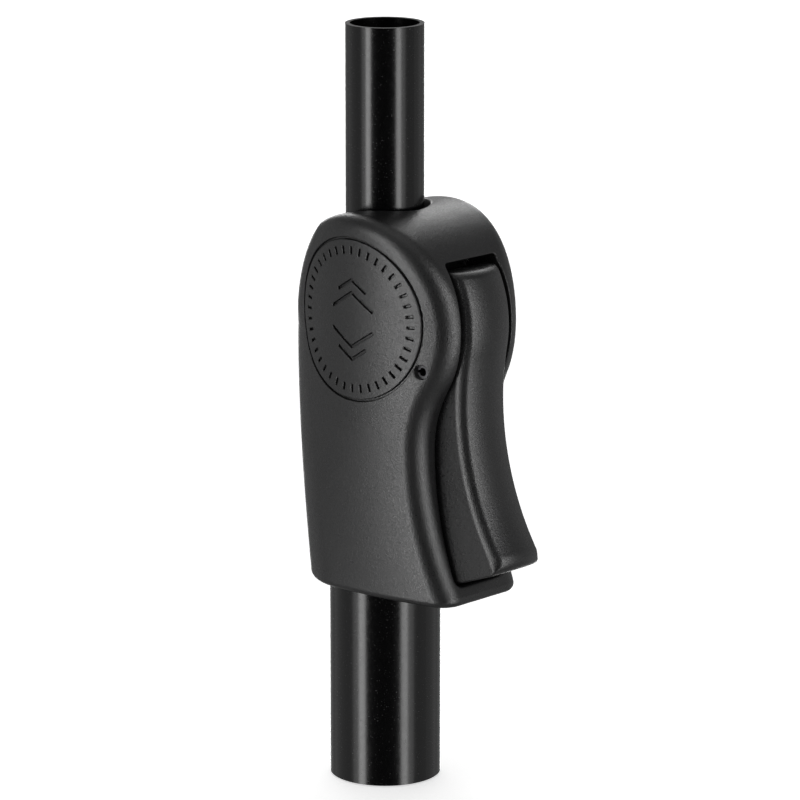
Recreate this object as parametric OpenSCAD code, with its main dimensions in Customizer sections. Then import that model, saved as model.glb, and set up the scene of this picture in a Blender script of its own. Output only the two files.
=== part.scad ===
// Quick-release height clutch of a telescopic music stand pole.
// A trigger on a moulded housing lifts a stack of canted lock plates off the
// upper tube, which then slides and turns; let go, the plates tilt and grip.
// Origin: centre of the lower tube's bottom end. +Z up the pole, +X to the trigger.

/* [Tubes] */
// Outer diameter of the lower tube
outer_tube_d = 28.6; // [28.4:0.1:28.8]
// Outer diameter of the upper tube
inner_tube_d = 20; // [19.9:0.05:20.05]
// Wall thickness of both tubes
tube_wall = 1.2; // [1:0.1:1.3]
// Height at which the lower tube ends inside the housing
outer_tube_top = 98; // [96:0.5:98]
// Height of the upper tube's bottom end
inner_tube_bottom = 18; // [14:0.5:22]
// Height of the upper tube's top end
inner_tube_top = 195.7; // [170:0.1:320]

/* [Housing] */
// Height of the housing's bottom face
housing_bottom = 52.3; // [50:0.1:54]
// Radius of the round upper lobe, seen from the side
lobe_r = 27.5; // [27:0.1:28]
// Greatest half thickness of the housing across the lobe
lobe_half_width = 19.8; // [19:0.1:21]
// Half thickness of the housing at its bottom
base_half_width = 18.4; // [18:0.1:19.5]
// Width of the slot that the trigger sits in
slot_w = 18.6; // [18.2:0.1:19]
// Diameter of the hole in the housing's roof
roof_hole_d = 23; // [22.4:0.1:24]

/* [Trigger] */
// Outside width of the trigger
trigger_w = 16.6; // [16:0.1:17]
// Wall thickness of the trigger
trigger_wall = 2.2; // [2:0.1:2.4]
// Diameter of the trigger's roll pin
trigger_pin_d = 3.6; // [3.4:0.1:3.8]

/* [Lock plates] */
// Number of lock plates, one node each
plate_count = 3; // [3:1:3]
// Thickness of a lock plate
plate_t = 3; // [2.8:0.1:3]
// Hole in a lock plate
plate_hole_d = 20.35; // [20.3:0.01:20.4]
// Tilt of a plate while it grips, in degrees
plate_tilt = 3.8; // [3.6:0.1:4]

/* [Hidden] */

$fn = 72;
eps = 0.01;
play = 0.06;       // running play between sliding parts, on the radius
seat_gap = 0.05;   // gap round parts that are pressed or stacked
outer_r = outer_tube_d / 2;
inner_r = inner_tube_d / 2;
outer_bore_r = outer_r - tube_wall;
inner_bore_r = inner_r - tube_wall;

// ---- side outline of the housing, in the plane of X and Z ----
lobe_x = 7.35;                               // centre of the round lobe
lobe_z = 122.6;
back_r = 32.9;                               // wider arc at the back, tangent at the top
back_z = lobe_z + lobe_r - back_r;
roof_z = lobe_z + lobe_r;
waist_x = 26;                                // narrowest place of the front
waist_z = 92;
// Hollow arc from the waist up, tangent to the lobe
neck_r = (pow(lobe_z - waist_z, 2) + pow(waist_x - lobe_x, 2) - pow(lobe_r, 2))
  / (2 * (lobe_r - waist_x + lobe_x));
skirt_r = 86;                                // hollow arc from waist down to the lip
lip_x = 34.5;
neck_z = lobe_z - lobe_r * (lobe_z - waist_z) / (lobe_r + neck_r);
base_back_x = -18.9;
base_back_z = 55;
// Straight back below, tangent to the back arc: where they meet, and the line's slope
back_reach = norm([lobe_x - base_back_x, back_z - base_back_z]);
back_lean = atan2(lobe_x - base_back_x, back_z - base_back_z) - asin(back_r / back_reach);
back_meet_z = base_back_z + sqrt(pow(back_reach, 2) - pow(back_r, 2)) * cos(back_lean);
edge_r = 1.2;                                // rounding of the bottom edge

function mix(a, b, t) = a + (b - a) * t;
function clamp01(t) = max(0, min(1, t));
function rise(z) = clamp01((z - base_back_z) / (back_z - base_back_z));
function front_x(z) = min(lip_x,
  z >= neck_z ? lobe_x + sqrt(max(0, pow(lobe_r, 2) - pow(z - lobe_z, 2)))
  : waist_x + (z >= waist_z ? neck_r - sqrt(pow(neck_r, 2) - pow(z - waist_z, 2))
                            : skirt_r - sqrt(pow(skirt_r, 2) - pow(z - waist_z, 2))));
function back_x(z) = z >= back_meet_z
  ? lobe_x - sqrt(max(0, pow(back_r, 2) - pow(z - back_z, 2)))
  : base_back_x + (z - base_back_z) * tan(back_lean);

// ---- plan of the housing: a lens that narrows to both ends ----
function cheek(x, z) = mix(base_half_width, lobe_half_width, rise(z))
  - mix(0.0040, 0.0097, rise(z)) * pow(x - mix(0, 7.8, rise(z)), 2);
// Loss of half width at depth d under an edge rounded over a by b
function eased(d, a, b) = d >= a ? 0 : b * (1 - sqrt(1 - pow(1 - max(0, d) / a, 2)));
function front_depth(x, z) =
  z >= neck_z ? lobe_r - norm([x - lobe_x, z - lobe_z])
  : z >= waist_z ? norm([x - waist_x - neck_r, z - waist_z]) - neck_r
  : min(norm([x - waist_x - skirt_r, z - waist_z]) - skirt_r, lip_x - x);
function back_depth(x, z) =
  z >= back_meet_z ? back_r - norm([x - lobe_x, z - back_z]) : (x - back_x(z)) * cos(back_lean);
round_low = 5;       // rounding of the front edges at the bottom
round_high = 4.2;    // and round the lobe
function front_round(z) = mix(round_low, round_high, clamp01((z - base_back_z) / 57));
// How much of the roof's tight rounding holds, from none at the back to all on top
function roofness(x, z) = clamp01((x + 24) / 16) * clamp01((z - back_z) / 6);
function back_round_x(x, z) = mix(mix(17, 13, rise(z)), round_high, roofness(x, z));
function back_round_y(x, z) = mix(cheek(back_x(z), z) - 1.8, round_high, roofness(x, z));
function half_width(x, z) = max(0.4, cheek(x, z)
  - (x < lobe_x ? eased(back_depth(x, z), back_round_x(x, z), back_round_y(x, z))
                : eased(front_depth(x, z), front_round(z), front_round(z)))
  - eased(z - housing_bottom, edge_r, edge_r));

// Heights of the housing's section rings: close together where it curves
function ring_heights() = concat(
  [for (a = [15:25:90]) housing_bottom + edge_r * (1 - cos(a))],
  [for (i = [1:15]) mix(housing_bottom + edge_r, back_meet_z, i / 15)],
  [for (a = [0:6:80]) mix(back_z, roof_z, sin(a))], [roof_z - 0.15]);
ring_side = 20;    // points along one cheek
function ring(z) =
  let (xb = back_x(z) + eased(z - housing_bottom, edge_r, edge_r),
       xf = front_x(z) - eased(z - housing_bottom, edge_r, edge_r),
       xs = [for (i = [0:ring_side - 1]) mix(xb, xf, (1 - cos(180 * i / (ring_side - 1))) / 2)])
  concat([for (x = xs) [x, -half_width(x, z), z]],
         [for (i = [ring_side - 1:-1:0]) [xs[i], half_width(xs[i], z), z]]);

// Closed skin over a stack of rings of n points each
module loft(rings, n) {
  last = len(rings) - 1;
  polyhedron(
    points = [for (r = rings) each r],
    faces = concat(
      [[for (i = [0:n - 1]) i]],
      [for (k = [0:last - 1], i = [0:n - 1])
        [k * n + i, (k + 1) * n + i, (k + 1) * n + (i + 1) % n, k * n + (i + 1) % n]],
      [[for (i = [n - 1:-1:0]) last * n + i]]),
    convexity = 6);
}

// ---- trigger and mechanism places ----
pivot_x = 27.1;
pivot_z = 112.9;
slot_floor = 57.2;
slot_top = 139.5;
socket_wall_r = outer_r + 2.3;
socket_wall_top = 101.5;
housing_bore_r = outer_r + seat_gap;
roof_shoulder = 140;
locating_groove = 2;        // length of the rolled groove in the lower tube
groove_depth = 0.4;

trigger_front_r = 30.2;     // upper front, round the lobe's centre
trigger_waist_z = 104.5;
trigger_hollow_r = 67;      // hollow arc below, tangent to the upper one
trigger_top = 137.2;
trigger_heel = [31, 57.9];
trigger_foot = [34, 58.4];  // where the sloping bottom face starts
trigger_tip_z = 64.2;       // where the bottom face would meet the front line
tip_slope = 0.368;          // rise of the bottom face towards the tip
tip_flare = 0.753;          // slope of the front line at the tip
tip_r = 3.2;
pad_edge_r = 2;             // rounding between the crowned front and a side
pad_angle = 27;             // slope at which the crown meets that rounding
skin_inset = 3.7;           // front of the hollow behind the crown
boss_r = 4.4;
arm_y = [-5.4, 1.2];
dowel_r = 1.4;
dowel_x = 12.6;
dowel_z = 107.45;

bush_flange = 2.5;
seat_z = outer_tube_top + bush_flange;
seat_t = 2.5;
plate_r = 13.8;
plate_pitch = 3.1;
fulcrum_x = -13.2;
plate_z = 111;              // underside of the lowest plate when it lies level
heel_x = -12.2;
ring_play = 0.6;            // loose fit of the steel rings round the upper tube
shoe_r = 13.6;
shoe_t = 0.8;
washer_r = 14;
washer_z = 133;
upper_bush_z = 134;
wiper_groove_r = 11.2;
wiper_groove_z = [upper_bush_z + 2.4, upper_bush_z + 4.4];
bush_reach = 20;            // length of the mouth bush inside the lower tube
dowel_half_length = 6;
pin_half_length = 15.2;
pin_wall = 0.7;
spring_wire_r = 0.8;
spring_mean_r = 12.2;
spring_turns = 5;
end_turn = 0.13;            // share of the coil's height that each end turn takes

module tube(r_out, r_in, z0, z1) {
  translate([0, 0, z0]) difference() {
    cylinder(r = r_out, h = z1 - z0);
    translate([0, 0, -1]) cylinder(r = r_in, h = z1 - z0 + 2);
  }
}

// Rod along Y
module cross_rod(r, x, z, y0, y1) {
  translate([x, y1, z]) rotate([90, 0, 0]) cylinder(r = r, h = y1 - y0);
}

// Outline in X and Z, extruded across Y
module across(y0, y1) {
  translate([0, y1, 0]) rotate([90, 0, 0]) linear_extrude(y1 - y0) children();
}

// Round wire along a list of points
module wire(path, r, sides = 8) {
  last = len(path) - 1;
  tangent = function(i) let (d = path[min(last, i + 1)] - path[max(0, i - 1)]) d / norm(d);
  frame = function(i) let (t = tangent(i), s = abs(t[2]) < 0.9 ? [0, 0, 1] : [0, 1, 0],
    u = cross(t, s), v = cross(t, u)) [u / norm(u), v / norm(v)];
  loft([for (i = [last:-1:0]) let (f = frame(i))
    [for (k = [0:sides - 1]) path[i] + r * (f[0] * cos(360 * k / sides) + f[1] * sin(360 * k / sides))]],
    sides);
}

// ---- lower tube and housing ----
module outer_tube() {
  color([0.07, 0.07, 0.075]) difference() {
    tube(outer_r, outer_bore_r, 0, outer_tube_top);
    tube(outer_r + 1, outer_r - groove_depth, housing_bottom, housing_bottom + locating_groove);
    for (z = screw_heights) screw_hole(screw_r, z);
  }
}

screw_heights = [66, 86];
screw_r = 2;
screw_head_r = 3.6;
screw_head_t = 2.4;
screw_seat_x = -17.2;
hex_r = 1.4;
hex_depth = 1.6;

module screw_hole(r, z) {
  translate([-30, 0, z]) rotate([0, 90, 0]) cylinder(r = r, h = 25);
}

module clutch_housing() {
  color([0.13, 0.13, 0.135]) difference() {
    loft([for (z = ring_heights()) ring(z)], 2 * ring_side);
    translate([0, 0, housing_bottom + locating_groove])
      cylinder(r = housing_bore_r, h = roof_shoulder - housing_bottom - locating_groove);
    cylinder(r = outer_r - groove_depth + seat_gap, h = roof_shoulder);
    cylinder(r = roof_hole_d / 2, h = roof_z + 10);
    trigger_slot();
    cross_rod(trigger_pin_d / 2 + 0.02, pivot_x, pivot_z, -30, 30);
    for (z = screw_heights) {
      screw_hole(screw_r + 0.15, z);
      translate([-40, 0, z]) rotate([0, 90, 0]) cylinder(r = screw_head_r + 0.3, h = 40 + screw_seat_x);
    }
  }
}

module trigger_slot() {
  difference() {
    translate([5, -slot_w / 2, slot_floor]) cube([40, slot_w, slot_top - slot_floor]);
    cylinder(r = socket_wall_r, h = socket_wall_top);
    translate([5, -slot_w / 2 - 1, upper_bush_z - 1.5]) cube([15, slot_w + 2, 20]);
  }
}

module housing_screws() {
  color([0.5, 0.5, 0.52]) for (z = screw_heights) difference() {
    union() {
      translate([screw_seat_x - screw_head_t, 0, z]) rotate([0, 90, 0])
        cylinder(r = screw_head_r, h = screw_head_t);
      translate([screw_seat_x - eps, 0, z]) rotate([0, 90, 0])
        cylinder(r = screw_r - seat_gap, h = -outer_bore_r - screw_seat_x - 0.1);
    }
    translate([screw_seat_x - screw_head_t - 1, 0, z]) rotate([0, 90, 0])
      cylinder(r = hex_r, h = hex_depth + 1, $fn = 6);
  }
}

module tube_mouth_bush() {
  color([0.82, 0.82, 0.78]) {
    difference() {
      union() {
        translate([0, 0, outer_tube_top - bush_reach])
          cylinder(r = outer_bore_r - seat_gap, h = bush_reach + 0.03);
        translate([0, 0, outer_tube_top + 0.02]) cylinder(r = outer_r - seat_gap, h = bush_flange - 0.04);
      }
      cylinder(r = inner_r + play, h = 150);
    }
  }
}

module fulcrum_seat() {
  color([0.62, 0.62, 0.64]) {
    tube(outer_r - 0.1, inner_r + ring_play, seat_z, seat_z + seat_t);
    intersection() {
      tube(outer_r - 0.1, inner_r + ring_play, seat_z + seat_t - eps, plate_z - 0.15);
      translate([heel_x - 5, -10, 0]) cube([5, 20, 150]);
    }
  }
}

// ---- lock plates, spring and upper bearing ----
// Turns its children from level to the gripping tilt about the k-th fulcrum
module gripping(k) {
  mid = plate_z + plate_pitch * k + plate_t / 2;
  translate([fulcrum_x, 0, mid]) rotate([0, plate_tilt, 0]) translate([-fulcrum_x, 0, -mid]) children();
}

module lock_plate(k) {
  centre_x = -fulcrum_x * (1 / cos(plate_tilt) - 1);
  color([0.66, 0.66, 0.68]) gripping(k) translate([0, 0, plate_z + plate_pitch * k]) difference() {
    cylinder(r = plate_r, h = plate_t);
    translate([centre_x, 0, -1]) cylinder(r = plate_hole_d / 2, h = plate_t + 2);
  }
}

top_plate_z = plate_z + plate_pitch * (plate_count - 1) + plate_t;

module spring_shoe() {
  color([0.7, 0.7, 0.72]) gripping(plate_count - 1)
    tube(shoe_r, inner_r + ring_play, top_plate_z + 0.02, top_plate_z + 0.02 + shoe_t);
}

// Coil between the tilted shoe and the level washer, with closed end turns
function shoe_top(x) = top_plate_z - plate_t / 2 + (plate_t / 2 + 0.02 + shoe_t) / cos(plate_tilt)
  - (x - fulcrum_x) * tan(plate_tilt);
function coil_share(turn) = turn < 1 ? end_turn * turn
  : turn > spring_turns - 1 ? 1 - end_turn * (spring_turns - turn)
  : mix(end_turn, 1 - end_turn, (turn - 1) / (spring_turns - 2));
module plate_spring() {
  color([0.75, 0.75, 0.77]) wire([for (i = [0:20 * spring_turns])
    let (a = 18 * i, x = spring_mean_r * cos(a),
         low = shoe_top(x) + spring_wire_r + 0.08, high = washer_z - spring_wire_r - 0.05)
    [x, spring_mean_r * sin(a), mix(low, high, coil_share(i / 20))]], spring_wire_r);
}

module spring_washer() {
  color([0.7, 0.7, 0.72]) tube(washer_r, inner_r + ring_play, washer_z, upper_bush_z - 0.02);
}

module upper_guide_bush() {
  color([0.82, 0.82, 0.78]) difference() {
    tube(housing_bore_r - seat_gap, inner_r + play, upper_bush_z, roof_shoulder - 0.02);
    tube(wiper_groove_r, 5, wiper_groove_z[0], wiper_groove_z[1]);
  }
}

module wiper_ring() {
  color([0.2, 0.2, 0.22]) tube(wiper_groove_r - seat_gap, inner_r + seat_gap,
    wiper_groove_z[0] + seat_gap, wiper_groove_z[1] - seat_gap);
}

// ---- trigger ----
// Front line of the trigger at its middle: lobe arc above, long hollow arc below
trigger_reach = trigger_front_r + trigger_hollow_r;
hollow_centre_x = lobe_x + sqrt(pow(trigger_reach, 2) - pow(lobe_z - trigger_waist_z, 2));
trigger_turn_z = lobe_z - trigger_front_r * (lobe_z - trigger_waist_z) / trigger_reach;
function trigger_front(z) = z > trigger_turn_z
  ? lobe_x + sqrt(pow(trigger_front_r, 2) - pow(z - lobe_z, 2))
  : hollow_centre_x - sqrt(pow(trigger_hollow_r, 2) - pow(z - trigger_waist_z, 2));

// Side outline with its front set back by d and its other faces in by wall
function trigger_side(d, wall) =
  let (tip_z = trigger_tip_z + (wall - tip_slope * d) / (1 + tip_slope * tip_flare),
       round_at = [trigger_front(tip_z) - d - 1.61 * tip_r, tip_z + 0.48 * tip_r],
       top = trigger_top - wall)
  concat(
    [for (a = [-70:21.4:37]) round_at + tip_r * [cos(a), sin(a)]],
    [for (i = [1:24]) let (z = mix(tip_z + 1.08 * tip_r, top - 1.2, i / 24)) [trigger_front(z) - d, z]],
    [[trigger_front(top) - d - 0.1, top - 0.4], [trigger_front(top) - d - 1, top]],
    [[22, top], [21.3, 120], [21.3, 108], [23.6, 98], [24.2, 84],
     trigger_heel + [-5, 8], trigger_heel + [-2.5, wall], trigger_heel + [0, wall],
     trigger_foot + [0, wall]]);

// Crowned section of the front: half width reached, and how far it lies back
pad_half = trigger_w / 2 - pad_edge_r;
crown_r = pad_half / sin(pad_angle) + pad_edge_r;
function pad_section() = concat(
  [for (a = [90:-21:pad_angle]) [pad_half + pad_edge_r * sin(a),
    crown_r * (1 - cos(pad_angle)) + pad_edge_r * (cos(pad_angle) - cos(a))]],
  [for (a = [18, 9, 0]) [crown_r * sin(a), crown_r * (1 - cos(a))]]);

module trigger_skin() {
  section = pad_section();
  last = len(section) - 1;
  across_all = concat(section, [for (i = [last - 1:-1:0]) [-section[i][0], section[i][1]]]);
  loft([for (s = across_all) [for (p = trigger_side(s[1], 0)) [p[0], s[0], p[1]]]],
    len(trigger_side(0, 0)));
}

module trigger_hollow() {
  half = trigger_w / 2 - trigger_wall;
  across(-half, half) polygon(trigger_side(skin_inset, trigger_wall));
  translate([15, -half, trigger_heel[1] + trigger_wall + 2]) cube([12, 2 * half, 76]);
}

module trigger_arm() {
  across(arm_y[0], arm_y[1]) polygon([
    [pivot_x, pivot_z + 2.4], [pivot_x - 4, pivot_z - 0.4], [dowel_x + 3.2, dowel_z + 0.75],
    [dowel_x - 1.2, dowel_z + 0.75], [dowel_x - 1.2, dowel_z - 1.4], [dowel_x, dowel_z - 2.6],
    [pivot_x, pivot_z - 4.2]]);
}

module trigger() {
  half = trigger_w / 2;
  color([0.13, 0.13, 0.135]) difference() {
    union() {
      difference() {
        trigger_skin();
        trigger_hollow();
      }
      cross_rod(boss_r, pivot_x, pivot_z, arm_y[0], arm_y[1]);
      cross_rod(boss_r, pivot_x, pivot_z, -half, -half + trigger_wall + eps);
      cross_rod(boss_r, pivot_x, pivot_z, half - trigger_wall - eps, half);
      across(arm_y[0], arm_y[1]) polygon([[pivot_x - 1, pivot_z + 4.3], [34, pivot_z + 6],
        [33.2, pivot_z - 8], [pivot_x - 1, pivot_z - 4.3]]);
      trigger_arm();
    }
    cross_rod(trigger_pin_d / 2 + 0.08, pivot_x, pivot_z, -20, 20);
    cross_rod(dowel_r + 0.02, dowel_x, dowel_z, -20, 20);
  }
}

module lift_dowel() {
  color([0.7, 0.7, 0.72]) cross_rod(dowel_r, dowel_x, dowel_z, -dowel_half_length, dowel_half_length);
}

module trigger_pin() {
  half = pin_half_length;
  color([0.6, 0.6, 0.62]) difference() {
    cross_rod(trigger_pin_d / 2, pivot_x, pivot_z, -half, half);
    cross_rod(trigger_pin_d / 2 - pin_wall, pivot_x, pivot_z, -half - 1, half + 1);
    translate([pivot_x - 3, -half - 1, pivot_z - 0.3]) cube([3, 2 * half + 2, 0.6]);
  }
}

// Torsion spring: one leg down the trigger's front, one leg on the socket wall
torsion_r = 3.1;
torsion_wire_r = 0.5;
torsion_y = [1.9, 5.5];
torsion_front = [31.2, 97];  // end of the leg behind the trigger's front, in X and Z
torsion_rear = [17.2, 97.5]; // end of the leg on the socket wall
module trigger_spring() {
  start = -25;
  sweep = 3 * 360 + 185;
  steps = 70;
  coil = [for (i = [0:steps]) let (a = start + sweep * i / steps)
    [pivot_x + torsion_r * cos(a), mix(torsion_y[0], torsion_y[1], i / steps),
     pivot_z + torsion_r * sin(a)]];
  color([0.75, 0.75, 0.77]) wire(concat(
    [[torsion_front[0], torsion_y[0], torsion_front[1]],
     [pivot_x + torsion_r - 0.1, torsion_y[0], pivot_z - 5]], coil,
    [[20.5, torsion_y[1], pivot_z - 6.5], [torsion_rear[0], torsion_y[1], torsion_rear[1]]]),
    torsion_wire_r);
}

// ---- upper tube with its guide ----
collar_z = [inner_tube_bottom + 2, inner_tube_bottom + 18];
flare = [0.9, 1.8];         // added radius and height of the upper tube's flared end
snap_groove_depth = 0.4;
snap_groove_length = 1.2;
snap_ring_r = 11.2;
module inner_tube() {
  ring_z = collar_z[1] + 0.2;
  color([0.07, 0.07, 0.075]) difference() {
    union() {
      cylinder(r = inner_r, h = inner_tube_top);
      translate([0, 0, inner_tube_bottom]) cylinder(r = inner_r + flare[0], h = flare[1]);
    }
    translate([0, 0, -1]) cylinder(r = inner_bore_r, h = inner_tube_top + 2);
    translate([0, 0, -1]) cylinder(r = 20, h = inner_tube_bottom + 1);
    tube(inner_r + 2, inner_r - snap_groove_depth, ring_z, ring_z + snap_groove_length);
  }
}

module guide_collar() {
  color([0.82, 0.82, 0.78]) difference() {
    tube(outer_bore_r - play, inner_r + play, collar_z[0], collar_z[1]);
    translate([0, -0.5, 0]) cube([20, 1, 60]);
  }
}

module collar_snap_ring() {
  color([0.7, 0.7, 0.72]) difference() {
    tube(snap_ring_r, inner_r - snap_groove_depth + seat_gap,
      collar_z[1] + 0.2 + seat_gap, collar_z[1] + 0.2 + snap_groove_length - seat_gap);
    translate([0, -2, 0]) cube([20, 4, 60]);
  }
}

outer_tube();
clutch_housing();
housing_screws();
tube_mouth_bush();
fulcrum_seat();
lock_plate(0);  // lock_plate_1
lock_plate(1);  // lock_plate_2
lock_plate(2);  // lock_plate_3
spring_shoe();
plate_spring();
spring_washer();
upper_guide_bush();
wiper_ring();
trigger();
lift_dowel();
trigger_pin();
trigger_spring();
inner_tube();
guide_collar();
collar_snap_ring();
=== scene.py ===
import math

import bpy
import numpy as np
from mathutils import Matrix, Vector


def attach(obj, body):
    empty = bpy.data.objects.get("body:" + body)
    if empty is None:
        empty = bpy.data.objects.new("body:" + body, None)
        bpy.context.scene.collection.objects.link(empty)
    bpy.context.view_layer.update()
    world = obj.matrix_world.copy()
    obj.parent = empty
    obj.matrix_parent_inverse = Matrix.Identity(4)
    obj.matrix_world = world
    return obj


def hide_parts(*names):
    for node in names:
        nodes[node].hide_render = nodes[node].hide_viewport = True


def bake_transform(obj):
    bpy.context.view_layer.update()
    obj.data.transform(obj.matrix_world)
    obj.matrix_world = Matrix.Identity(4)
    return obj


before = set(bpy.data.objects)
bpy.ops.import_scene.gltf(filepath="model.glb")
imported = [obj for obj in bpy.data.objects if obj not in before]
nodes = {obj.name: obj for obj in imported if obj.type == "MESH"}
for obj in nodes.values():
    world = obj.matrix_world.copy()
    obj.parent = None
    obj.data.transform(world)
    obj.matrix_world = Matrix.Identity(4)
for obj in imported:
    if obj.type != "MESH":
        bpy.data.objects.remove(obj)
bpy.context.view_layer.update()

MM = 0.001

# ---------------------------------------------------------------- sizes, in millimetres
# They repeat the CAD source's, so that the detailed skins lie on the CAD solids.
HOUSING_BOTTOM = 52.3
LOBE = (7.35, 122.6)
LOBE_R = 27.5
BACK_R = 32.9
BACK_Z = LOBE[1] + LOBE_R - BACK_R
WAIST = (26.0, 92.0)
NECK_R = (((LOBE[1] - WAIST[1]) ** 2 + (WAIST[0] - LOBE[0]) ** 2 - LOBE_R ** 2)
          / (2 * (LOBE_R - WAIST[0] + LOBE[0])))
SKIRT_R = 86.0
LIP_X = 34.5
ROUND_LOW = 5.0               # rounding of the front edges at the bottom
ROUND_HIGH = 4.2              # and round the lobe
CHEEK_LOW = 18.4              # half thickness at the bottom
CHEEK_HIGH = 19.8             # and across the lobe
CHEEK_CURVE_LOW = 0.0040
CHEEK_CURVE_HIGH = 0.0097
CHEEK_CENTRE_X = 7.8          # where the lobe is thickest
NECK_Z = LOBE[1] - LOBE_R * (LOBE[1] - WAIST[1]) / (LOBE_R + NECK_R)
BASE_BACK = (-18.9, 55.0)
BACK_REACH = math.hypot(LOBE[0] - BASE_BACK[0], BACK_Z - BASE_BACK[1])
BACK_LEAN = math.atan2(LOBE[0] - BASE_BACK[0], BACK_Z - BASE_BACK[1]) - math.asin(BACK_R / BACK_REACH)
BACK_MEET_Z = BASE_BACK[1] + math.sqrt(BACK_REACH ** 2 - BACK_R ** 2) * math.cos(BACK_LEAN)
BOTTOM_EDGE_R = 1.8
SLOT_HALF = 9.3
SLOT_FLOOR = 57.2
SLOT_TOP = 139.5
SLOT_BACK_X = 5.0
SLOT_CORNER_LOW = 2.2
SLOT_CORNER_HIGH = 0.8
SOCKET_R = 16.6
SOCKET_TOP = 101.5
BUSH_BLOCK = (20.0, 132.5)    # the solid behind the slot's top: its front, and its underside
SLOT_EDGE_R = 0.45
ROOF_EDGE_R = 0.5
PIN_EDGE_R = 0.2
SCREW_EDGE_R = 0.3
BORE_R = 14.35
COLLAR_R = 13.95
GROOVE_LENGTH = 2.0
ROOF_HOLE_R = 11.5
ROOF_SHOULDER = 140.0
PIVOT = (27.1, 112.9)
PIN_HOLE_R = 1.82
SCREW_HEIGHTS = (66.0, 86.0)
SCREW_SEAT_X = -17.2
SCREW_RECESS_R = 3.9
SCREW_HOLE_R = 2.15

# The engraved mark on the near cheek
MARK = (7.0, 123.9)
MARK_DEPTH = 0.8
MARK_EDGE_R = 0.12
MARK_RING_R = 20.6
MARK_RING_WIDTH = 0.62
MARK_TICKS = 40
TICK_R = 17.6
TICK_HALF_LENGTH = 1.0
TICK_HALF_WIDTH = 0.3
CHEVRONS = ((4.0, 6.6), (8.6, 4.4))     # height of each chevron over the centre, and its half width
CHEVRON_DROP = 1.2
CHEVRON_SLOPE = 0.62
CHEVRON_WIDTH = 0.75

# The springs
PLATE_TILT = 3.8
SHOE_TOP_Z = 120.148          # on the pole's axis
WASHER_Z = 133.0
SHOE_GAP = 0.08
WASHER_GAP = 0.05
SPRING_R = 12.2
SPRING_WIRE_R = 0.8
SPRING_TURNS = 5
END_TURN_SHARE = 0.137        # share of the coil's height that each end turn takes
TORSION_R = 3.1
TORSION_WIRE_R = 0.5
TORSION_Y = (1.9, 5.5)
TORSION_FRONT = (31.2, 97.0)
TORSION_REAR = (17.2, 97.5)
TORSION_START = -25           # degrees round the pin
TORSION_SWEEP = 3 * 360 + 185

# The trigger
PAD_R = 30.2
PAD_WAIST_Z = 104.5
PAD_HOLLOW_R = 67.0
PAD_CENTRE_X = LOBE[0] + math.sqrt((PAD_R + PAD_HOLLOW_R) ** 2 - (LOBE[1] - PAD_WAIST_Z) ** 2)
PAD_TURN_Z = LOBE[1] - PAD_R * (LOBE[1] - PAD_WAIST_Z) / (PAD_R + PAD_HOLLOW_R)
TRIGGER_TOP = 137.2
TRIGGER_HEEL = (31.0, 57.9)
TRIGGER_FOOT = (34.0, 58.4)
TIP_SLOPE = 0.368
TRIGGER_HALF = 8.3
TRIGGER_WALL = 2.2
TRIGGER_SKIN = 3.7
CROWN_R = 15.88
TIP_R = 4.2
TOP_EDGE_R = 1.6
SIDE_EDGE_R = 2.0             # along the crowned front
BACK_EDGE_R = 0.45            # on the side's other edges
HEEL_EDGE_R = 0.4
ROOM_EDGE_R = 0.25
LEVER_EDGE_R = 0.3
BACK_HEIGHTS = (57.9, 65.9, 84, 98, 108, 120, 137.2)
BACK_LINE = (28.5, 26, 24.2, 23.6, 21.3, 21.3, 22)
ARM_Y = (-5.4, 1.2)
DOWEL = (12.6, 107.45)
DOWEL_R = 1.4
BOSS_R = 4.4


# ---------------------------------------------------------------- small maths
def mix(a, b, t):
    return a + (b - a) * t


def clamp01(t):
    return np.clip(t, 0.0, 1.0)


def smooth(t):
    t = clamp01(t)
    return t * t * (3 - 2 * t)


def length(*parts):
    return np.sqrt(sum(p * p for p in parts))


def both(a, b, r):
    """Intersection of two fields, its edge rounded to radius r."""
    return np.minimum(-r, np.maximum(a, b)) + length(np.maximum(a + r, 0), np.maximum(b + r, 0))


def cut(a, tool, r):
    """Field a with a tool's field taken away, the new edge rounded to radius r."""
    return both(a, -tool, r)


def polygon_field(x, z, points):
    """Signed distance to a closed outline in the plane of X and Z, negative inside."""
    best = None
    inside = None
    for i, (ax, az) in enumerate(points):
        bx, bz = points[i - 1]
        ex, ez = bx - ax, bz - az
        wx, wz = x - ax, z - az
        t = clamp01((wx * ex + wz * ez) / (ex * ex + ez * ez))
        d = (wx - ex * t) ** 2 + (wz - ez * t) ** 2
        best = d if best is None else np.minimum(best, d)
        spans = (az > z) != (bz > z)
        left = x < ax + (bx - ax) * (z - az) / (bz - az if bz != az else 1.0)
        crossed = spans & left
        inside = crossed if inside is None else inside ^ crossed
    return np.sqrt(best) * np.where(inside, -1.0, 1.0)


# ---------------------------------------------------------------- the housing's shape
def cheek_half_width(x, rise):
    bulge = mix(CHEEK_CURVE_LOW, CHEEK_CURVE_HIGH, rise) * (x - mix(0, CHEEK_CENTRE_X, rise)) ** 2
    return mix(CHEEK_LOW, CHEEK_HIGH, rise) - bulge


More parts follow.
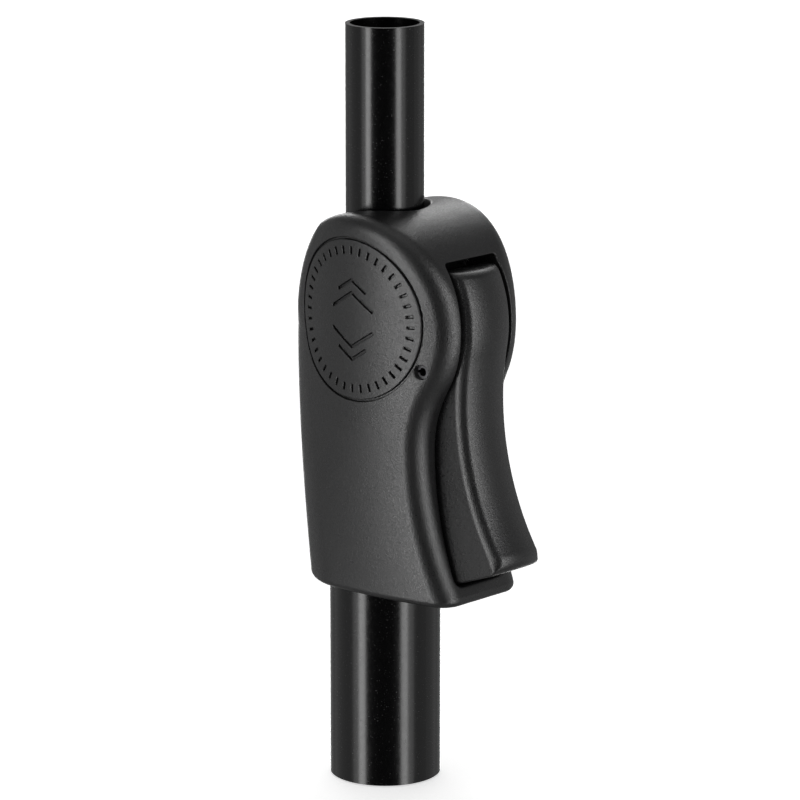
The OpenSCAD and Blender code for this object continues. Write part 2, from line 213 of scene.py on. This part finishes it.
def housing_skin(x, y, z):
    """Outer skin of the housing: negative inside, close to a distance near the surface."""
    rise = clamp01((z - BASE_BACK[1]) / (BACK_Z - BASE_BACK[1]))
    lobe_distance = length(x - LOBE[0], z - LOBE[1])
    neck_depth = length(x - WAIST[0] - NECK_R, z - WAIST[1]) - NECK_R
    skirt_depth = np.minimum(length(x - WAIST[0] - SKIRT_R, z - WAIST[1]) - SKIRT_R, LIP_X - x)
    front_depth = np.where(z >= NECK_Z, LOBE_R - lobe_distance,
                           np.where(z >= WAIST[1], neck_depth, skirt_depth))
    back_line = BASE_BACK[0] + (z - BASE_BACK[1]) * math.tan(BACK_LEAN)
    back_depth = np.where(z >= BACK_MEET_Z, BACK_R - length(x - LOBE[0], z - BACK_Z),
                          (x - back_line) * math.cos(BACK_LEAN))
    cheek = cheek_half_width(x, rise)
    back_x = np.where(z >= BACK_MEET_Z,
                      LOBE[0] - np.sqrt(np.maximum(0, BACK_R ** 2 - (z - BACK_Z) ** 2)), back_line)
    cheek_at_back = cheek_half_width(back_x, rise)
    roofness = clamp01((x + 24) / 16) * clamp01((z - BACK_Z) / 6)
    front_round = mix(ROUND_LOW, ROUND_HIGH, clamp01((z - BASE_BACK[1]) / 57))
    at_back = x < LOBE[0]
    depth = np.where(at_back, back_depth, front_depth)
    a = np.where(at_back, mix(mix(17, 13, rise), ROUND_HIGH, roofness), front_round)
    b = np.where(at_back, mix(cheek_at_back - 1.8, ROUND_HIGH, roofness), front_round)
    across = np.maximum((np.abs(y) - cheek) / b + 1, 0)
    along = np.maximum(1 - depth / a, 0)
    side = (length(across, along) - 1) * np.minimum(a, b)
    return both(side, HOUSING_BOTTOM - z, BOTTOM_EDGE_R)


def ring_field(x, z, radius, width):
    return np.abs(length(x - MARK[0], z - MARK[1]) - radius) - width / 2


def stroke_field(x, z, start, end, width):
    """Round-ended stroke between two points, given from the mark's centre."""
    ax, az = MARK[0] + start[0], MARK[1] + start[1]
    ex, ez = end[0] - start[0], end[1] - start[1]
    t = clamp01(((x - ax) * ex + (z - az) * ez) / (ex * ex + ez * ez))
    return length(x - ax - ex * t, z - az - ez * t) - width / 2


def mark_field(x, z):
    """The engraved mark: a ring, a dial of ticks, and an up and a down chevron."""
    field = ring_field(x, z, MARK_RING_R, MARK_RING_WIDTH)
    angle = np.arctan2(z - MARK[1], x - MARK[0])
    step = 2 * math.pi / MARK_TICKS
    turn = (np.mod(angle + step / 2, step) - step / 2)
    radius = length(x - MARK[0], z - MARK[1])
    tick = np.maximum(np.abs(turn) * radius - TICK_HALF_WIDTH, np.abs(radius - TICK_R) - TICK_HALF_LENGTH)
    field = np.minimum(field, tick)
    for up in (1, -1):
        for base, reach in CHEVRONS:
            for side in (1, -1):
                foot = (side * reach, up * (base - CHEVRON_DROP))
                top = (0, up * (base - CHEVRON_DROP + reach * CHEVRON_SLOPE))
                field = np.minimum(field, stroke_field(x, z, foot, top, CHEVRON_WIDTH))
    return field


def slot_field(x, y, z):
    middle = (SLOT_TOP + SLOT_FLOOR) / 2
    half = (SLOT_TOP - SLOT_FLOOR) / 2
    corner = np.where(z < middle, SLOT_CORNER_LOW, SLOT_CORNER_HIGH)
    across = np.abs(y) - SLOT_HALF + corner
    along = np.abs(z - middle) - half + corner
    box = (length(np.maximum(across, 0), np.maximum(along, 0))
           + np.minimum(np.maximum(across, along), 0) - corner)
    box = np.maximum(box, SLOT_BACK_X - x)
    socket = np.maximum(length(x, y) - SOCKET_R, z - SOCKET_TOP)
    block = np.maximum(x - BUSH_BLOCK[0], BUSH_BLOCK[1] - z)
    return np.maximum(box, -np.minimum(socket, block))


def housing_field(x, y, z):
    skin = housing_skin(x, y, z)
    mark = np.maximum(np.maximum(mark_field(x, z), -skin - MARK_DEPTH), y + 10)
    body = cut(skin, mark, MARK_EDGE_R)
    rho = length(x, y)
    groove_top = HOUSING_BOTTOM + GROOVE_LENGTH
    bore = np.maximum(np.maximum(rho - BORE_R, z - ROOF_SHOULDER), groove_top - z)
    bore = np.minimum(bore, np.maximum(rho - COLLAR_R, z - 100))
    body = np.maximum(body, -bore)
    body = cut(body, np.maximum(rho - ROOF_HOLE_R, 130 - z), ROOF_EDGE_R)
    body = cut(body, slot_field(x, y, z), SLOT_EDGE_R)
    body = cut(body, length(x - PIVOT[0], z - PIVOT[1]) - PIN_HOLE_R, PIN_EDGE_R)
    for height in SCREW_HEIGHTS:
        off = length(y, z - height)
        recess = np.maximum(off - SCREW_RECESS_R, x - SCREW_SEAT_X)
        hole = np.maximum(off - SCREW_HOLE_R, x + 5)
        body = cut(body, np.minimum(recess, hole), SCREW_EDGE_R)
    return body


# ---------------------------------------------------------------- the trigger's shape
def trigger_front_field(x, z):
    upper = length(x - LOBE[0], z - LOBE[1]) - PAD_R
    lower = PAD_HOLLOW_R - length(x - PAD_CENTRE_X, z - PAD_WAIST_Z)
    return np.where(z > PAD_TURN_Z, upper, lower)


def trigger_bottom_field(x, z):
    foot_x, foot_z = TRIGGER_FOOT
    heel_slope = (foot_z - TRIGGER_HEEL[1]) / (foot_x - TRIGGER_HEEL[0])
    rising = (foot_z + TIP_SLOPE * (x - foot_x) - z) / math.hypot(1, TIP_SLOPE)
    level = (foot_z + heel_slope * (x - foot_x) - z) / math.hypot(1, heel_slope)
    return np.maximum(rising, np.maximum(level, TRIGGER_HEEL[1] - z))


def trigger_field(x, y, z):
    front = trigger_front_field(x, z)
    drop = CROWN_R - np.sqrt(np.maximum(CROWN_R ** 2 - y * y, 1.0))
    bottom = trigger_bottom_field(x, z)
    top = z - TRIGGER_TOP
    outline = both(both(front + drop, bottom, TIP_R), top, TOP_EDGE_R)
    away = smooth((np.maximum(bottom, top) - front - drop) / 3.0 + 0.5)
    edge = mix(SIDE_EDGE_R, BACK_EDGE_R, away)
    body = both(outline, np.abs(y) - TRIGGER_HALF, edge)
    back = np.interp(z, BACK_HEIGHTS, BACK_LINE) - x
    body = both(body, back, HEEL_EDGE_R)
    room = np.maximum(np.maximum(front + TRIGGER_SKIN, bottom + TRIGGER_WALL), top + TRIGGER_WALL)
    rear = np.maximum(np.maximum(x - 27, TRIGGER_HEEL[1] + TRIGGER_WALL + 2 - z), z - 140)
    hollow = np.maximum(np.minimum(room, rear), np.abs(y) - TRIGGER_HALF + TRIGGER_WALL)
    body = cut(body, hollow, ROOM_EDGE_R)
    pivot_distance = length(x - PIVOT[0], z - PIVOT[1])
    px, pz = PIVOT
    dx, dz = DOWEL
    rib = polygon_field(x, z, [(px - 1, pz + 4.3), (34, pz + 6), (33.2, pz - 8), (px - 1, pz - 4.3)])
    arm = polygon_field(x, z, [
        (px, pz + 2.4), (px - 4, pz - 0.4), (dx + 3.2, dz + 0.75), (dx - 1.2, dz + 0.75),
        (dx - 1.2, dz - 1.4), (dx, dz - 2.6), (px, pz - 4.2)])
    in_arm = np.maximum(ARM_Y[0] - y, y - ARM_Y[1])
    lever = both(np.minimum(np.minimum(rib, arm), pivot_distance - BOSS_R), in_arm, LEVER_EDGE_R)
    cheeks = np.maximum(np.abs(y) - TRIGGER_HALF, TRIGGER_HALF - TRIGGER_WALL - 0.1 - np.abs(y))
    boss = np.maximum(pivot_distance - BOSS_R, cheeks)
    body = np.minimum(body, np.minimum(lever, boss))
    body = np.maximum(body, PIN_HOLE_R + 0.06 - pivot_distance)
    return np.maximum(body, DOWEL_R + 0.02 - length(x - dx, z - dz))


# ---------------------------------------------------------------- meshes from fields
def spaced(*stretches):
    """Grid positions over stretches of (start, end, step), one after another."""
    out = []
    for start, end, step in stretches:
        count = max(1, round((end - start) / step))
        out.extend(np.linspace(start, end, count, endpoint=False))
    out.append(stretches[-1][1])
    return np.array(out)


def gradient(field, p, h=0.03):
    g = np.empty_like(p)
    for axis in range(3):
        step = np.zeros(3)
        step[axis] = h
        ahead, behind = p + step, p - step
        g[:, axis] = field(*ahead.T) - field(*behind.T)
    return g / (2 * h)


def settle(field, p, rounds=4, most=0.3):
    """Moves points onto the field's zero surface."""
    for _ in range(rounds):
        g = gradient(field, p)
        size2 = np.maximum((g * g).sum(1), 0.05)
        move = (field(*p.T) / size2)[:, None] * g
        far = np.maximum(length(*move.T) / most, 1.0)
        p = p - move / far[:, None]
    return p


def surface_net(field, xs, ys, zs):
    """Points and quads of the field's zero surface over a grid with uneven spacing."""
    value = field(xs[:, None, None], ys[None, :, None], zs[None, None, :])
    inside = value < 0
    corners = [(i, j, k) for i in (0, 1) for j in (0, 1) for k in (0, 1)]

    def shifted(a, c):
        return a[c[0]:a.shape[0] - 1 + c[0], c[1]:a.shape[1] - 1 + c[1], c[2]:a.shape[2] - 1 + c[2]]

    count = sum(shifted(inside, c).astype(np.int8) for c in corners)
    active = (count > 0) & (count < 8)
    cells = np.argwhere(active)
    index = np.full(active.shape, -1, np.int64)
    index[active] = np.arange(len(cells))
    total = np.zeros((len(cells), 3))
    hits = np.zeros(len(cells))
    axes = (xs, ys, zs)
    for c in corners:
        for axis in range(3):
            if c[axis]:
                continue
            e = list(c)
            e[axis] = 1
            start = cells + np.array(c)
            end = cells + np.array(e)
            va = value[tuple(start.T)]
            vb = value[tuple(end.T)]
            crossed = (va < 0) != (vb < 0)
            t = np.where(crossed, va / np.where(crossed, va - vb, 1.0), 0.0)
            pa = np.stack([axes[m][start[:, m]] for m in range(3)], 1)
            pb = np.stack([axes[m][end[:, m]] for m in range(3)], 1)
            total += np.where(crossed[:, None], pa + (pb - pa) * t[:, None], 0.0)
            hits += crossed
    points = total / hits[:, None]
    quads = []
    for axis in range(3):
        u, v = (axis + 1) % 3, (axis + 2) % 3
        low = [slice(None)] * 3
        high = [slice(None)] * 3
        low[axis] = slice(0, -1)
        high[axis] = slice(1, None)
        edge = inside[tuple(low)] != inside[tuple(high)]
        at = np.argwhere(edge)
        at = at[(at[:, u] > 0) & (at[:, v] > 0)
                & (at[:, u] < inside.shape[u] - 1) & (at[:, v] < inside.shape[v] - 1)]
        around = []
        for du, dv in ((-1, -1), (0, -1), (0, 0), (-1, 0)):
            cell = at.copy()
            cell[:, u] += du
            cell[:, v] += dv
            around.append(index[tuple(cell.T)])
        quad = np.stack(around, 1)
        flip = ~inside[tuple(at.T)]
        quad[flip] = quad[flip][:, ::-1]
        quads.append(quad)
    return points, np.concatenate(quads)


def mesh_object(name, points, faces):
    """An object from points in millimetres and a list or array of faces."""
    mesh = bpy.data.meshes.new(name)
    if isinstance(faces, np.ndarray):
        sides = faces.shape[1]
        mesh.vertices.add(len(points))
        mesh.vertices.foreach_set("co", (points * MM).astype(np.float32).ravel())
        mesh.loops.add(faces.size)
        mesh.loops.foreach_set("vertex_index", faces.astype(np.int32).ravel())
        mesh.polygons.add(len(faces))
        mesh.polygons.foreach_set("loop_start", np.arange(0, faces.size, sides, dtype=np.int32))
    else:
        mesh.from_pydata([tuple(c * MM for c in p) for p in points], [], faces)
    mesh.update(calc_edges=True)
    mesh.validate()
    mesh.polygons.foreach_set("use_smooth", np.ones(len(mesh.polygons), bool))
    obj = bpy.data.objects.new(name, mesh)
    bpy.context.scene.collection.objects.link(obj)
    return obj


def apply_modifiers(obj):
    bpy.context.view_layer.update()
    graph = bpy.context.evaluated_depsgraph_get()
    made = bpy.data.meshes.new_from_object(obj.evaluated_get(graph))
    obj.modifiers.clear()
    old = obj.data
    obj.data = made
    bpy.data.meshes.remove(old)


def field_object(name, field, xs, ys, zs, triangles):
    """A skin of a field, thinned where it is flat, with normals from the field itself."""
    points, quads = surface_net(field, xs, ys, zs)
    points = settle(field, points)
    obj = mesh_object(name, points, quads)
    if 2 * len(quads) > triangles:
        thin = obj.modifiers.new("thin", "DECIMATE")
        thin.ratio = triangles / (2 * len(quads))
        apply_modifiers(obj)
    mesh = obj.data
    co = np.empty(len(mesh.vertices) * 3)
    mesh.vertices.foreach_get("co", co)
    co = settle(field, co.reshape(-1, 3) / MM, rounds=2, most=0.1)
    mesh.vertices.foreach_set("co", (co * MM).astype(np.float32).ravel())
    normals = gradient(field, co, h=0.06)
    normals /= np.maximum(length(*normals.T), 1e-6)[:, None]
    mesh.polygons.foreach_set("use_smooth", np.ones(len(mesh.polygons), bool))
    mesh.update()
    mesh.normals_split_custom_set_from_vertices(normals.astype(np.float32))
    print(name, "grid faces", len(quads), "kept", len(mesh.polygons))
    return obj


# ---------------------------------------------------------------- the pieces
def make_housing():
    fine = 0.26
    plain = 0.55
    edge = 0.22
    xs = spaced((-26, -14.5, plain), (-14.5, 28.5, fine), (28.5, 36, plain))
    ys = spaced((-20.6, -14.5, edge), (-14.5, -10.3, plain), (-10.3, -8.7, edge), (-8.7, 8.7, plain),
                (8.7, 10.3, edge), (10.3, 20.6, plain))
    zs = spaced((51.7, 58.5, edge * 1.4), (58.5, 102, plain), (102, 145, fine), (145, 151.2, edge * 1.4))
    obj = field_object("housing_shell", housing_field, xs, ys, zs, 190000)
    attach(obj, "root")
    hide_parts("clutch_housing")
    return obj


def make_trigger():
    plain = 0.4
    edge = 0.22
    xs = spaced((10.6, 20, plain), (20, 49.5, plain * 0.8))
    ys = spaced((-8.9, -5.6, edge), (-5.6, 5.6, plain), (5.6, 8.9, edge))
    zs = spaced((57.2, 66, edge * 1.2), (66, 134, plain), (134, 137.8, edge * 1.2))
    obj = field_object("trigger_grip", trigger_field, xs, ys, zs, 150000)
    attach(obj, "trigger")
    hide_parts("trigger")
    return obj


def wire_object(name, path, radius, up, sides=12):
    """A round wire along a path. The path never runs along up, the direction its sides are counted from."""
    path = np.array(path, float)
    along = np.gradient(path, axis=0)
    across = np.cross(along, up)
    across /= length(*across.T)[:, None]
    normal = np.cross(across, along)
    normal /= length(*normal.T)[:, None]
    turns = np.arange(sides) * 2 * math.pi / sides
    rings = path[:, None] + radius * (across[:, None] * np.cos(turns)[None, :, None]
                                      + normal[:, None] * np.sin(turns)[None, :, None])
    last = (len(path) - 1) * sides
    faces = [(i + j, i + sides + j, i + sides + (j + 1) % sides, i + (j + 1) % sides)
             for i in range(0, last, sides) for j in range(sides)]
    faces.append(tuple(range(sides)))
    faces.append(tuple(range(last + sides - 1, last - 1, -1)))
    obj = mesh_object(name, rings.reshape(-1, 3), faces)
    for face in obj.data.polygons:
        face.use_smooth = len(face.vertices) == 4
    return obj


def make_plate_spring():
    """The coil over the lock plates: lowest turn on the tilting shoe, top turn on the washer."""
    slope = math.tan(math.radians(PLATE_TILT))
    path = []
    per_turn = 40
    for i in range(per_turn * SPRING_TURNS + 1):
        turn = i / per_turn
        if turn < 1:
            share = END_TURN_SHARE * turn
        elif turn > SPRING_TURNS - 1:
            share = 1 - END_TURN_SHARE * (SPRING_TURNS - turn)
        else:
            share = mix(END_TURN_SHARE, 1 - END_TURN_SHARE, (turn - 1) / (SPRING_TURNS - 2))
        x = SPRING_R * math.cos(2 * math.pi * turn)
        low = SHOE_TOP_Z - slope * x + SPRING_WIRE_R + SHOE_GAP
        high = WASHER_Z - SPRING_WIRE_R - WASHER_GAP
        path.append((x, SPRING_R * math.sin(2 * math.pi * turn), mix(low, high, share)))
    obj = wire_object("plate_spring_coil", path, SPRING_WIRE_R, (0, 0, 1))
    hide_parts("plate_spring")
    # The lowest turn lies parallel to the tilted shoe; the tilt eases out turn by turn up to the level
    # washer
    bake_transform(obj)
    return obj


def make_trigger_spring():
    """The torsion spring round the pin, as one still wire. On the real spring the front leg turns with the
    trigger and the rear leg stands still; here neither moves.
    """
    steps = 110
    near, far = TORSION_Y
    path = [(mix(TORSION_FRONT[0], PIVOT[0] + TORSION_R - 0.1, i / 6), near,
             mix(TORSION_FRONT[1], PIVOT[1] - 5, i / 6)) for i in range(7)]
    for i in range(steps + 1):
        a = math.radians(mix(TORSION_START, TORSION_START + TORSION_SWEEP, i / steps))
        path.append((PIVOT[0] + TORSION_R * math.cos(a), mix(near, far, i / steps),
                     PIVOT[1] + TORSION_R * math.sin(a)))
    path.append((20.5, far, PIVOT[1] - 6.5))
    path.append((TORSION_REAR[0], far, TORSION_REAR[1]))
    obj = wire_object("trigger_spring_coil", path, TORSION_WIRE_R, (0, 1, 0))
    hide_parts("trigger_spring")
    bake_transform(obj)
    return obj


# ---------------------------------------------------------------- materials
class Shader:
    """A Principled material with helpers for its procedural detail."""

    def __init__(self, name, **sockets):
        self.material = bpy.data.materials.new(name)
        self.material.use_nodes = True
        self.tree = self.material.node_tree
        self.shader = self.tree.nodes["Principled BSDF"]
        self.place = self.tree.nodes.new("ShaderNodeTexCoord").outputs["Object"]
        for key, value in sockets.items():
            self.shader.inputs[key.replace("_", " ")].default_value = value

    def noise(self, scale, detail=2.0, rough=0.5, stretch=None):
        node = self.tree.nodes.new("ShaderNodeTexNoise")
        node.inputs["Scale"].default_value = scale
        node.inputs["Detail"].default_value = detail
        node.inputs["Roughness"].default_value = rough
        source = self.place
        if stretch:
            mapping = self.tree.nodes.new("ShaderNodeMapping")
            mapping.inputs["Scale"].default_value = stretch
            self.tree.links.new(source, mapping.inputs["Vector"])
            source = mapping.outputs["Vector"]
        self.tree.links.new(source, node.inputs["Vector"])
        return node.outputs["Fac"]

    def spread(self, source, low, high, to_low, to_high):
        node = self.tree.nodes.new("ShaderNodeMapRange")
        for key, value in (("From Min", low), ("From Max", high), ("To Min", to_low), ("To Max", to_high)):
            node.inputs[key].default_value = value
        self.tree.links.new(source, node.inputs["Value"])
        return node.outputs["Result"]

    def math(self, operation, a, b):
        node = self.tree.nodes.new("ShaderNodeMath")
        node.operation = operation
        for socket, value in zip(node.inputs, (a, b)):
            if isinstance(value, (int, float)):
                socket.default_value = value
            else:
                self.tree.links.new(value, socket)
        return node.outputs["Value"]

    def colours(self, source, *stops):
        ramp = self.tree.nodes.new("ShaderNodeValToRGB")
        elements = ramp.color_ramp.elements
        while len(elements) < len(stops):
            elements.new(0.5)
        for element, (position, colour) in zip(elements, stops):
            element.position = position
            element.color = (*colour, 1)
        self.tree.links.new(source, ramp.inputs["Fac"])
        self.tree.links.new(ramp.outputs["Color"], self.shader.inputs["Base Color"])

    def bump(self, source, strength, distance):
        node = self.tree.nodes.new("ShaderNodeBump")
        node.inputs["Strength"].default_value = strength
        node.inputs["Distance"].default_value = distance
        self.tree.links.new(source, node.inputs["Height"])
        self.tree.links.new(node.outputs["Normal"], self.shader.inputs["Normal"])

    def drive(self, socket, source):
        self.tree.links.new(source, self.shader.inputs[socket])


def moulded_plastic(name, dark, light, roughness):
    """Black moulded plastic with a fine spark-eroded grain, whose peaks shine a little."""
    s = Shader(name, Specular_IOR_Level=0.45)
    grain = s.noise(2100, 3.0, 0.7)
    coarse = s.noise(900, 2.0, 0.5)
    drift = s.noise(60, 3.0, 0.5)
    s.colours(grain, (0.38, dark), (0.66, light))
    relief = s.math("ADD", s.math("MULTIPLY", grain, 0.7), s.math("MULTIPLY", coarse, 0.3))
    s.bump(relief, 0.5, 0.0002)
    worn = s.spread(drift, 0.3, 0.7, -0.03, 0.03)
    shine = s.spread(grain, 0.35, 0.7, roughness + 0.08, roughness - 0.12)
    s.drive("Roughness", s.math("ADD", shine, worn))
    return s.material


def gloss_paint(name):
    """Gloss black paint on tube: faint orange peel and a few specks of dust."""
    s = Shader(name, Specular_IOR_Level=0.32)
    peel = s.noise(420, 2.0, 0.5)
    dust = s.noise(2600, 1.0, 0.4)
    s.colours(s.spread(dust, 0.70, 0.78, 0, 1), (0.0, (0.0018, 0.0018, 0.002)), (1.0, (0.03, 0.03, 0.03)))
    s.bump(peel, 0.08, 0.00006)
    s.drive("Roughness", s.math("ADD", s.spread(s.noise(900), 0.3, 0.7, 0.17, 0.22),
                                s.spread(dust, 0.70, 0.78, 0, 0.2)))
    return s.material


def steel(name, colour, roughness, stretch=None):
    """Bare or plated steel with fine machining lines and small stains."""
    s = Shader(name, Metallic=1.0)
    lines = s.noise(2200, 3.0, 0.6, stretch)
    stain = s.noise(160, 3.0, 0.6)
    shade = tuple(c * 0.62 for c in colour)
    s.colours(stain, (0.36, shade), (0.66, colour))
    s.bump(lines, 0.18, 0.00003)
    s.drive("Roughness", s.spread(lines, 0.3, 0.7, roughness - 0.07, roughness + 0.1))
    return s.material


def acetal(name):
    """Natural acetal bush: faint flow marks and a little grease."""
    s = Shader(name, Specular_IOR_Level=0.45)
    flow = s.noise(240, 3.0, 0.5, (1, 1, 3))
    s.colours(flow, (0.3, (0.50, 0.485, 0.43)), (0.7, (0.68, 0.67, 0.62)))
    s.bump(s.noise(1500), 0.1, 0.00004)
    s.drive("Roughness", s.spread(flow, 0.3, 0.7, 0.32, 0.5))
    return s.material


def rubber(name):
    s = Shader(name, Specular_IOR_Level=0.35)
    pores = s.noise(1800, 3.0, 0.6)
    s.colours(pores, (0.3, (0.012, 0.012, 0.013)), (0.7, (0.03, 0.03, 0.03)))
    s.bump(pores, 0.3, 0.00006)
    s.drive("Roughness", s.spread(pores, 0.3, 0.7, 0.62, 0.85))
    return s.material


def paint(obj, material):
    obj.data.materials.clear()
    obj.data.materials.append(material)


plastic = moulded_plastic("housing_plastic", (0.003, 0.003, 0.0033), (0.014, 0.014, 0.0145), 0.36)
trigger_plastic = moulded_plastic("trigger_plastic", (0.003, 0.003, 0.0033), (0.014, 0.014, 0.0145), 0.34)
tube_paint = gloss_paint("tube_paint")
bare = steel("bare_steel", (0.56, 0.56, 0.57), 0.32)
plate = steel("plate_steel", (0.48, 0.48, 0.5), 0.4)
spring = steel("spring_steel", (0.6, 0.6, 0.62), 0.26, (1, 1, 4))
blackened = steel("fastener_steel", (0.13, 0.13, 0.135), 0.34)
bush = acetal("bush_plastic")
wiper = rubber("wiper_rubber")

LOOKS = {
    "outer_tube": tube_paint, "inner_tube": tube_paint, "clutch_housing": plastic,
    "trigger": trigger_plastic, "housing_screws": blackened, "trigger_pin": blackened,
    "tube_mouth_bush": bush, "upper_guide_bush": bush, "guide_collar": bush, "wiper_ring": wiper,
    "fulcrum_seat": bare, "spring_shoe": bare, "spring_washer": bare, "lift_dowel": bare,
    "lock_plate_1": plate, "lock_plate_2": plate, "lock_plate_3": plate,
    "plate_spring": spring, "trigger_spring": spring, "collar_snap_ring": spring,
}
for node_name, look in LOOKS.items():
    paint(nodes[node_name], look)

paint(make_housing(), plastic)
paint(make_trigger(), trigger_plastic)
paint(make_plate_spring(), spring)
paint(make_trigger_spring(), spring)


# ---------------------------------------------------------------- camera
FRONT = 43.0                  # azimuth the camera stands at, in degrees
AZIMUTH = math.radians(FRONT)
PITCH = math.radians(13.5)
LENS = 193.5
AIM = Vector((0.00278, 0.00259, 0.09867))
DISTANCE = 1.097
back = Vector((math.sin(AZIMUTH) * math.cos(PITCH), -math.cos(AZIMUTH) * math.cos(PITCH), math.sin(PITCH)))
camera_data = bpy.data.cameras.new("camera")
camera_data.lens = LENS
camera_data.sensor_width = 36
camera_data.clip_start = 0.05
camera_data.clip_end = 60
camera = bpy.data.objects.new("camera", camera_data)
bpy.context.scene.collection.objects.link(camera)
camera.location = AIM + back * DISTANCE
camera.rotation_mode = "QUATERNION"
camera.rotation_quaternion = (-back).to_track_quat("-Z", "Y")
bpy.context.scene.camera = camera

# ---------------------------------------------------------------- floor and light
FLOOR_Z = -0.0004
FLOOR_HALF = 8.0
floor_mesh = bpy.data.meshes.new("floor")
floor_mesh.from_pydata([(-FLOOR_HALF, -FLOOR_HALF, FLOOR_Z), (FLOOR_HALF, -FLOOR_HALF, FLOOR_Z),
                        (FLOOR_HALF, FLOOR_HALF, FLOOR_Z), (-FLOOR_HALF, FLOOR_HALF, FLOOR_Z)],
                       [], [(0, 1, 2, 3)])
floor = bpy.data.objects.new("floor", floor_mesh)
bpy.context.scene.collection.objects.link(floor)
floor_look = Shader("floor", Roughness=0.9, Specular_IOR_Level=0.1, Emission_Strength=0.62)
floor_look.shader.inputs["Emission Color"].default_value = (1, 1, 1, 1)
floor_look.colours(floor_look.noise(3), (0.3, (0.86, 0.86, 0.86)), (0.7, (0.9, 0.9, 0.9)))
paint(floor, floor_look.material)
floor.visible_glossy = False
floor.visible_shadow = False

MIDDLE = Vector((0.005, 0, 0.1))
CARD_R = 1.7
CARD_BOTTOM = -0.9
CARD_TOP = 1.1
CARD_SHADE = 0.004
STRIP_DISTANCE = 1.5
STRIP_HEIGHT = 1.9


def out_from_middle(azimuth, elevation):
    """Unit vector from the object. Azimuth 0 stands at -Y and 90 at +X, in degrees."""
    a, e = math.radians(azimuth), math.radians(elevation)
    return Vector((math.sin(a) * math.cos(e), -math.cos(a) * math.cos(e), math.sin(e)))


def area_light(name, azimuth, elevation, distance, width, height, power):
    """A soft box aimed at the object."""
    data = bpy.data.lights.new(name, "AREA")
    data.shape = "RECTANGLE"
    data.size = width
    data.size_y = height
    data.energy = power
    obj = bpy.data.objects.new(name, data)
    bpy.context.scene.collection.objects.link(obj)
    away = out_from_middle(azimuth, elevation)
    obj.location = MIDDLE + away * distance
    obj.rotation_mode = "QUATERNION"
    obj.rotation_quaternion = (-away).to_track_quat("-Z", "Y")
    return obj


def upright_wall(name, radius, start, end, bottom, top, brightness, shade):
    """A curved upright sheet round the object, from one azimuth to another."""
    steps = 24
    points = []
    for i in range(steps + 1):
        away = out_from_middle(mix(start, end, i / steps), 0) * radius
        points += [(away.x, away.y, bottom), (away.x, away.y, top)]
    mesh = bpy.data.meshes.new(name)
    mesh.from_pydata(points, [], [(2 * i, 2 * i + 2, 2 * i + 3, 2 * i + 1) for i in range(steps)])
    obj = bpy.data.objects.new(name, mesh)
    bpy.context.scene.collection.objects.link(obj)
    look = Shader(name, Roughness=1.0, Specular_IOR_Level=0.0, Emission_Strength=brightness)
    look.shader.inputs["Emission Color"].default_value = (1, 1, 1, 1)
    look.colours(look.noise(20), (0.3, (shade,) * 3), (0.7, (shade * 1.05,) * 3))
    paint(obj, look.material)
    obj.visible_diffuse = False
    obj.visible_shadow = False
    obj.visible_transmission = False
    return obj


def card(name, start, end, brightness):
    """A sheet that only reflections see, as in a light tent. Azimuths are from the camera's."""
    sheet = upright_wall(name, CARD_R, FRONT + start, FRONT + end, CARD_BOTTOM, CARD_TOP,
                         brightness, CARD_SHADE)
    sheet.visible_camera = False


# Azimuth from the camera's, width and power. Each front strip has a weaker, wider one beside it,
# farther round, so that its highlight fades outwards. The last two light the back's edges.
STRIPS = ((-49, 0.38, 19), (-61, 0.5, 4.5), (40, 0.38, 16), (52, 0.5, 4.5),
          (170, 0.2, 4.5), (-170, 0.2, 4.5))
for side, width, power in STRIPS:
    strip = area_light("strip", FRONT + side, 0, STRIP_DISTANCE, width, STRIP_HEIGHT, power)
    strip.visible_diffuse = False
area_light("overhead", FRONT, 80, 2.2, 1.6, 1.6, 5.3)
area_light("behind", FRONT + 180, 45, 2.6, 2.0, 2.0, 20)
card("card_front", -40, 33, 0.01)
card("card_left", -40, -130, 0.5)
card("card_right", 33, 130, 0.5)
backdrop = upright_wall("backdrop", FLOOR_HALF - 0.5, 0, 360, FLOOR_Z, 9.0, 1.0, 0.8)
backdrop.visible_glossy = False

world = bpy.data.worlds.new("world")
world.use_nodes = True
world.node_tree.nodes["Background"].inputs["Color"].default_value = (1, 1, 1, 1)
world.node_tree.nodes["Background"].inputs["Strength"].default_value = 0.3
bpy.context.scene.world = world
bpy.context.scene.view_settings.view_transform = "Standard"
